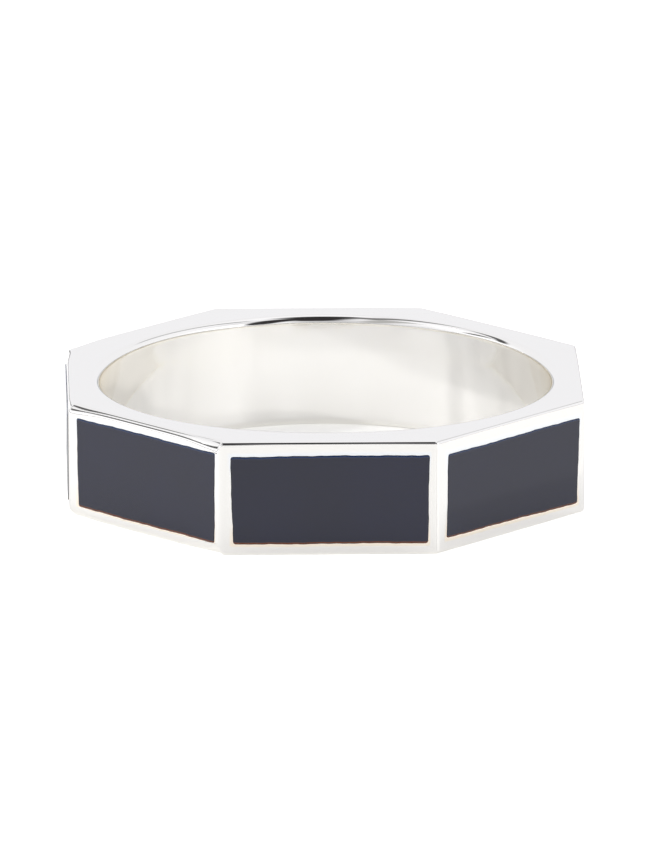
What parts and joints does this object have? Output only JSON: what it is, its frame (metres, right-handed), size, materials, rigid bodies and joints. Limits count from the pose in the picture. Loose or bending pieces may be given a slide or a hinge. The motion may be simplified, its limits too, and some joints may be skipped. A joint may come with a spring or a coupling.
{
  "type": "octagonal silver ring with inlaid onyx panels",
  "caption": "Octagonal silver band with a flat black onyx panel let flush into each side and a round comfort-fit finger hole.",
  "frame": {"origin": "centre of the octagonal band, in the plane of the rim that it rests on", "axes": "+Z along the finger hole, up from the resting rim; -Y out of the front face, which holds onyx_1; +X to the right of that face as the picture shows it"},
  "size_m": [0.022, 0.022, 0.0049],
  "materials": {
    "silver": "polished",
    "onyx": "polished"
  },
  "bodies": {
    "root": {"band": "silver", "onyx_1": "onyx", "onyx_2": "onyx", "onyx_3": "onyx", "onyx_4": "onyx", "onyx_5": "onyx", "onyx_6": "onyx", "onyx_7": "onyx", "onyx_8": "onyx"}
  },
  "joints": []
}
